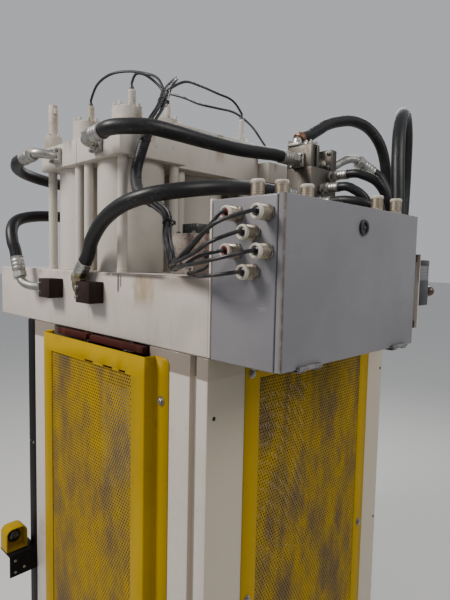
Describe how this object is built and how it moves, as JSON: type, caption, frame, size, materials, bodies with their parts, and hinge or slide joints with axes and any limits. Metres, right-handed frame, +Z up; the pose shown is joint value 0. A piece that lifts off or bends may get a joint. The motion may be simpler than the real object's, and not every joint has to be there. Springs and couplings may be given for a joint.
{
  "type": "hydraulic press",
  "caption": "Column hydraulic press with cylinders on its crown, a sliding platen over a slotted bolster, sheet guards, high-pressure hoses, sensor cables and a hinged control box.",
  "frame": {"origin": "middle of the bed's underside, on the floor", "axes": "+Z up, +Y from the front to the back, +X from the open operator's side to the control box"},
  "size_m": [1.5699, 1.2846, 2.673],
  "materials": {
    "cream_paint": "worn gloss",
    "yellow_paint": "worn satin",
    "grey_paint": "satin",
    "black_paint": "satin",
    "maroon_paint": "matt",
    "bare_steel": "machined",
    "chrome_rod": "polished",
    "rusty_steel": "rusted",
    "black_rubber": "matt",
    "black_plastic": "satin",
    "brown_knob": "gloss"
  },
  "bodies": {
    "frame": {"barrel_front_left": "cream_paint", "barrel_front_right": "cream_paint", "barrel_main": "cream_paint", "barrel_rear_left": "cream_paint", "barrel_rear_right": "cream_paint", "bed": "cream_paint", "bolster_plate": "bare_steel", "cable_front_left": "black_rubber", "cable_front_right": "black_rubber", "cable_junction": "black_rubber", "cable_main": "black_rubber", "cable_valve": "black_rubber", "cable_vent": "black_rubber", "cap_front_left": "cream_paint", "cap_front_right": "cream_paint", "cap_main": "cream_paint", "cap_rear_left": "cream_paint", "cap_rear_right": "cream_paint", "column_front_left": "cream_paint", "column_front_right": "cream_paint", "column_rear_left": "cream_paint", "column_rear_right": "cream_paint", "crown": "cream_paint", "enclosure_body": "grey_paint", "guard_front": "yellow_paint", "guard_rear": "yellow_paint", "guard_side": "yellow_paint", "hose_arch": "black_rubber", "hose_bracket": "bare_steel", "hose_cap_left": "black_rubber", "hose_cap_right": "black_rubber", "hose_drain_lower": "black_rubber", "hose_drain_middle": "black_rubber", "hose_drain_upper": "black_rubber", "hose_loop": "black_rubber", "hose_pilot": "black_rubber", "hose_port_left": "black_rubber", "hose_port_right": "black_rubber", "junction_block": "rusty_steel", "left_manifold": "bare_steel", "operator_post": "black_paint", "port_block_left": "black_paint", "port_block_right": "black_paint", "sensor_front_left": "cream_paint", "sensor_front_right": "cream_paint", "sensor_main": "cream_paint", "sensor_vent": "cream_paint", "switch_body": "black_plastic", "switch_shroud": "yellow_paint", "valve_manifold": "bare_steel"},
    "ram": {"platen": "maroon_paint", "piston_rod_front_left": "chrome_rod", "piston_rod_front_right": "chrome_rod", "piston_rod_rear_left": "chrome_rod", "piston_rod_rear_right": "chrome_rod", "piston_rod_main": "chrome_rod"},
    "door": {"enclosure_door": "grey_paint"},
    "latch": {"door_latch": "black_plastic"},
    "lever": {"switch_lever": "brown_knob"},
    "button": {"palm_button": "black_plastic"}
  },
  "joints": [
    {"name": "ram_slide", "type": "slide", "parent": "frame", "child": "ram", "axis": [0, 0, -1], "range_m": [0, 0.3]},
    {"name": "door_hinge", "type": "hinge", "parent": "frame", "child": "door", "pos_m": [0.8999, 0, 1.756], "axis": [0, 1, 0], "range_deg": [0, 120]},
    {"name": "latch_turn", "type": "hinge", "parent": "door", "child": "latch", "pos_m": [0.8723, -0.151, 2.088], "axis": [1, 0, 0], "range_deg": [0, 90]},
    {"name": "lever_throw", "type": "hinge", "parent": "frame", "child": "lever", "pos_m": [0.85, 0.3283, 1.906], "axis": [1, 0, 0], "range_deg": [-25, 25]},
    {"name": "button_press", "type": "slide", "parent": "frame", "child": "button", "axis": [-1, 0, 0], "range_m": [0, 0.006], "stiffness_N_per_m": 500}
  ]
}
